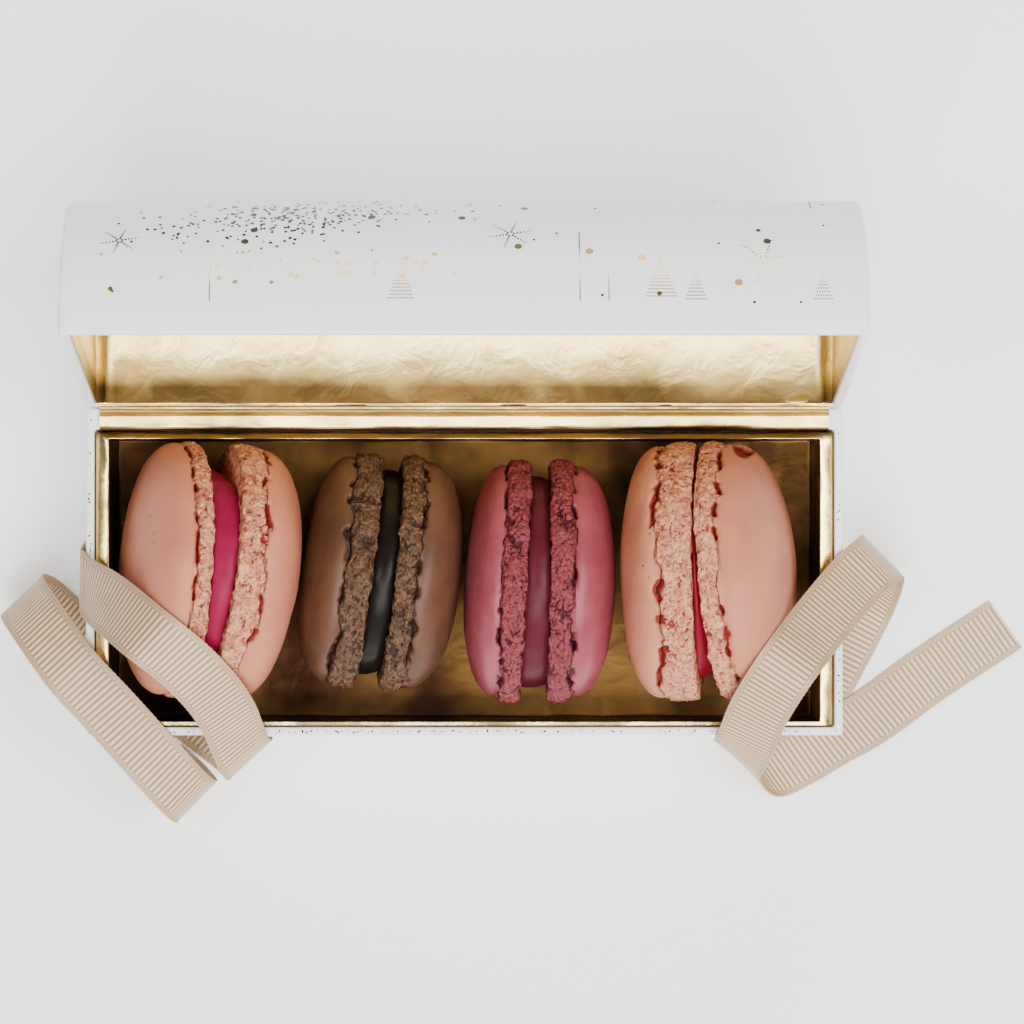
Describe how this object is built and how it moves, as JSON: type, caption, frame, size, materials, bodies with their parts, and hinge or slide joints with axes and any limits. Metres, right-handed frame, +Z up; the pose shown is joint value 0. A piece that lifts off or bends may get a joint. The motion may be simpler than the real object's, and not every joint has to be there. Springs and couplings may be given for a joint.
{
  "type": "box of macarons",
  "caption": "Hinged gift box with its barrel lid open, holding filled macarons on edge in a gold card tray, with grosgrain ribbons laid round its front corners.",
  "frame": {"origin": "centre of the base's underside", "axes": "+X to the right along the row of macarons, +Y to the back where the lid is hinged, +Z up"},
  "size_m": [0.1932, 0.1138, 0.0877],
  "materials": {
    "white_paper": "white coated paper over board",
    "gold_foil": "gold foil card, slightly creased",
    "peach_shell": "baked almond shell, smooth dome and rough foot",
    "cocoa_shell": "baked almond shell, smooth dome and rough foot",
    "rose_shell": "baked almond shell, smooth dome and rough foot",
    "pale_peach_shell": "baked almond shell, smooth dome and rough foot",
    "magenta_filling": "soft fruit filling",
    "dark_filling": "dark ganache",
    "plum_filling": "soft fruit filling",
    "crimson_filling": "soft fruit filling",
    "beige_tape": "ribbed grosgrain"
  },
  "bodies": {
    "base": {"base_box": "white_paper", "gold_tray": "gold_foil", "macaron_1_shell_left": "peach_shell", "macaron_1_filling": "magenta_filling", "macaron_1_shell_right": "peach_shell", "macaron_2_shell_left": "cocoa_shell", "macaron_2_filling": "dark_filling", "macaron_2_shell_right": "cocoa_shell", "macaron_3_shell_left": "rose_shell", "macaron_3_filling": "plum_filling", "macaron_3_shell_right": "rose_shell", "macaron_4_shell_left": "pale_peach_shell", "macaron_4_filling": "crimson_filling", "macaron_4_shell_right": "pale_peach_shell", "ribbon_left": "beige_tape", "ribbon_right": "beige_tape"},
    "lid": {"lid_shell": "white_paper"}
  },
  "joints": [
    {"name": "lid_hinge", "type": "hinge", "parent": "base", "child": "lid", "pos_m": [0, 0.03025, 0.0283], "axis": [-1, 0, 0], "range_deg": [-84, 64]}
  ]
}
